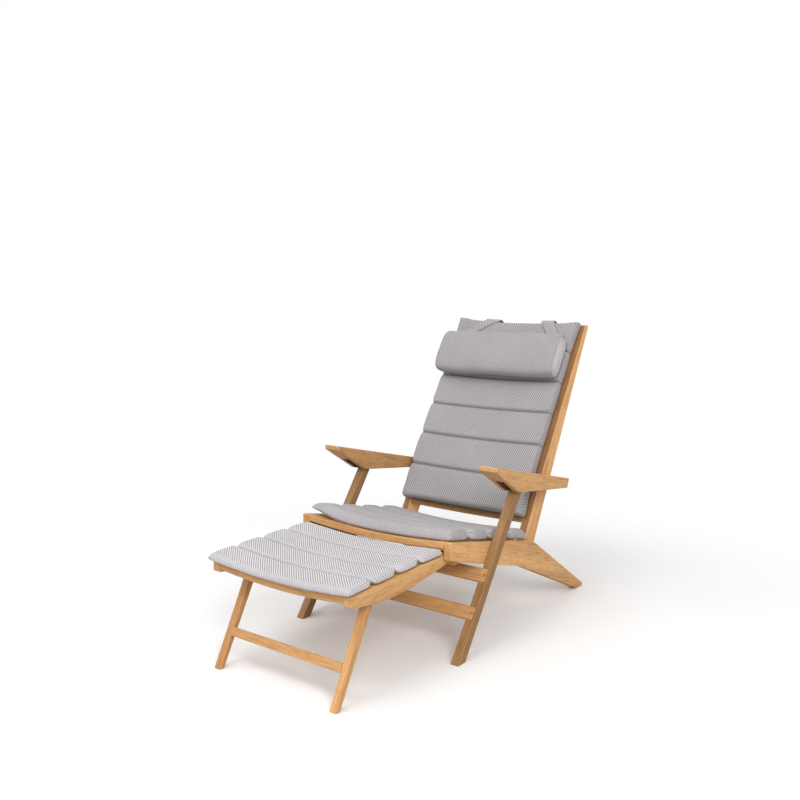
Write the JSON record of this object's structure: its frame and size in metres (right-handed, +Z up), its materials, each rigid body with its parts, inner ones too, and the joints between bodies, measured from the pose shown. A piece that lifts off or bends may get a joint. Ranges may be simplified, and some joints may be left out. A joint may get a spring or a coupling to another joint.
{
  "type": "chaise lounge",
  "caption": "Reclining wooden deck chair with bent side planks, armrests, pull-out footrest on folding legs, channelled cushions and a head pillow on straps.",
  "frame": {"origin": "on the floor, under the middle of the whole chair with its footrest", "axes": "+Z up, -Y the way the chair faces, +X towards the sitter's left"},
  "size_m": [0.656, 1.3178, 0.9407],
  "materials": {
    "teak": "oiled hardwood, fine straight grain",
    "plug_wood": "end-grain wooden plugs",
    "steel": "stainless bolts",
    "seat_fabric": "woven two-tone grey",
    "back_fabric": "woven two-tone grey",
    "footrest_fabric": "woven two-tone grey",
    "pillow_fabric": "woven two-tone grey",
    "strap_fabric": "flat woven strap"
  },
  "bodies": {
    "seat_frame": {"seat_front_rail": "teak", "seat_rear_rail": "teak", "footrest_support_rail": "teak", "seat_cushion": "seat_fabric", "upper_stretcher": "teak", "lower_stretcher": "teak", "stretcher_plugs": "plug_wood", "seat_slat_1": "teak", "seat_slat_2": "teak", "seat_slat_3": "teak", "seat_slat_4": "teak", "seat_slat_5": "teak", "side_plank_left": "teak", "leg_pivot_bolt_left": "steel", "front_leg_left": "teak", "back_pivot_bolt_left": "steel", "side_plank_right": "teak", "leg_pivot_bolt_right": "steel", "front_leg_right": "teak", "back_pivot_bolt_right": "steel"},
    "back": {"back_lower_rail": "teak", "back_top_rail": "teak", "back_cushion": "back_fabric", "head_pillow": "pillow_fabric", "pillow_strap_left": "strap_fabric", "pillow_strap_right": "strap_fabric", "back_slat_1": "teak", "back_slat_2": "teak", "back_slat_3": "teak", "back_slat_4": "teak", "back_slat_5": "teak", "back_slat_6": "teak", "back_slat_7": "teak", "back_slat_8": "teak", "back_slat_9": "teak", "back_slat_10": "teak", "back_slat_11": "teak", "back_slat_12": "teak", "back_slat_13": "teak", "back_upright_left": "teak", "arm_pivot_bolt_left": "steel", "back_upright_right": "teak", "arm_pivot_bolt_right": "steel"},
    "armrest_left": {"armrest_left": "teak"},
    "armrest_right": {"armrest_right": "teak"},
    "footrest": {"footrest_front_rail": "teak", "footrest_rear_rail": "teak", "footrest_cushion": "footrest_fabric", "footrest_slat_1": "teak", "footrest_slat_2": "teak", "footrest_slat_3": "teak", "footrest_slat_4": "teak", "footrest_rail_left": "teak", "footrest_leg_bolt_left": "steel", "footrest_rail_right": "teak", "footrest_leg_bolt_right": "steel"},
    "footrest_legs": {"footrest_leg_left": "teak", "footrest_leg_right": "teak", "footrest_stretcher": "teak"}
  },
  "joints": [
    {"name": "back_recline", "type": "hinge", "parent": "seat_frame", "child": "back", "pos_m": [0, 0.23615, 0.2], "axis": [1, 0, 0], "range_deg": [-16, 0]},
    {"name": "arm_slide_left", "type": "hinge", "parent": "back", "child": "armrest_left", "pos_m": [0, 0.35715, 0.418], "axis": [1, 0, 0], "range_deg": [0, 11.2]},
    {"name": "arm_slide_right", "type": "hinge", "parent": "back", "child": "armrest_right", "pos_m": [0, 0.35715, 0.418], "axis": [1, 0, 0], "range_deg": [0, 11.2]},
    {"name": "footrest_pull", "type": "slide", "parent": "seat_frame", "child": "footrest", "axis": [0, -1, 0], "range_m": [0, 0.12]},
    {"name": "footrest_leg_fold", "type": "hinge", "parent": "footrest", "child": "footrest_legs", "pos_m": [0, -0.51435, 0.262], "axis": [1, 0, 0], "range_deg": [0, 115]}
  ],
  "couplings": [
    {"joint": "arm_slide_left", "follows": "back_recline", "ratio": -0.7},
    {"joint": "arm_slide_right", "follows": "back_recline", "ratio": -0.7}
  ]
}
